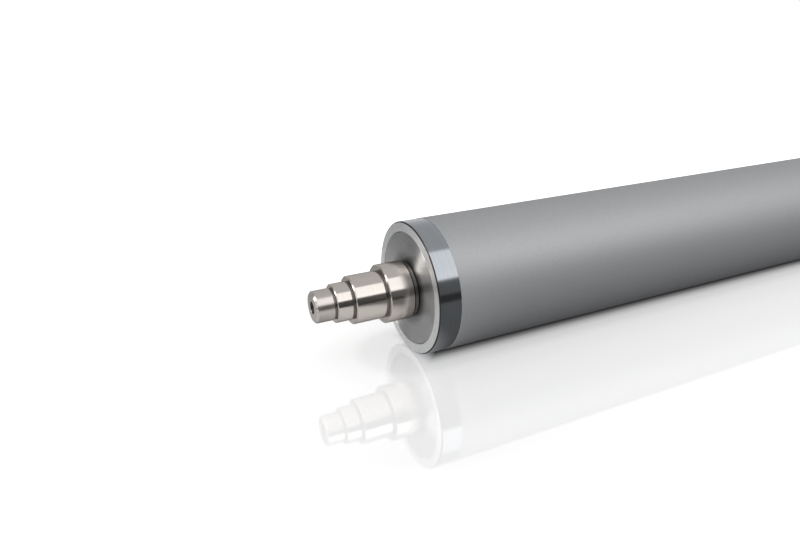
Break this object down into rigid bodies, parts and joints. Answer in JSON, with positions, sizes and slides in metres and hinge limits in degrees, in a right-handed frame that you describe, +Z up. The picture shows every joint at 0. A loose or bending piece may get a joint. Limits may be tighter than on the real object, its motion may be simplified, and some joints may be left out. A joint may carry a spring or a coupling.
{
  "type": "anilox roller",
  "caption": "Hollow steel metering roller with an engraved ceramic face, bare steel end bands and stepped journals for its bearings.",
  "frame": {"origin": "on the roller's axis, half way along it", "axes": "+X along the roller's axis from the near journal to the far journal, +Z up"},
  "size_m": [1.3102, 0.143, 0.1432],
  "materials": {
    "ground_steel": "ground",
    "engraved_ceramic": "matt, finely engraved",
    "turned_steel": "face turned",
    "polished_stainless": "polished"
  },
  "bodies": {
    "root": {"roll_tube": "ground_steel", "ceramic_coat": "engraved_ceramic", "near_header": "turned_steel", "far_header": "turned_steel", "near_journal": "polished_stainless", "far_journal": "polished_stainless"}
  },
  "joints": []
}
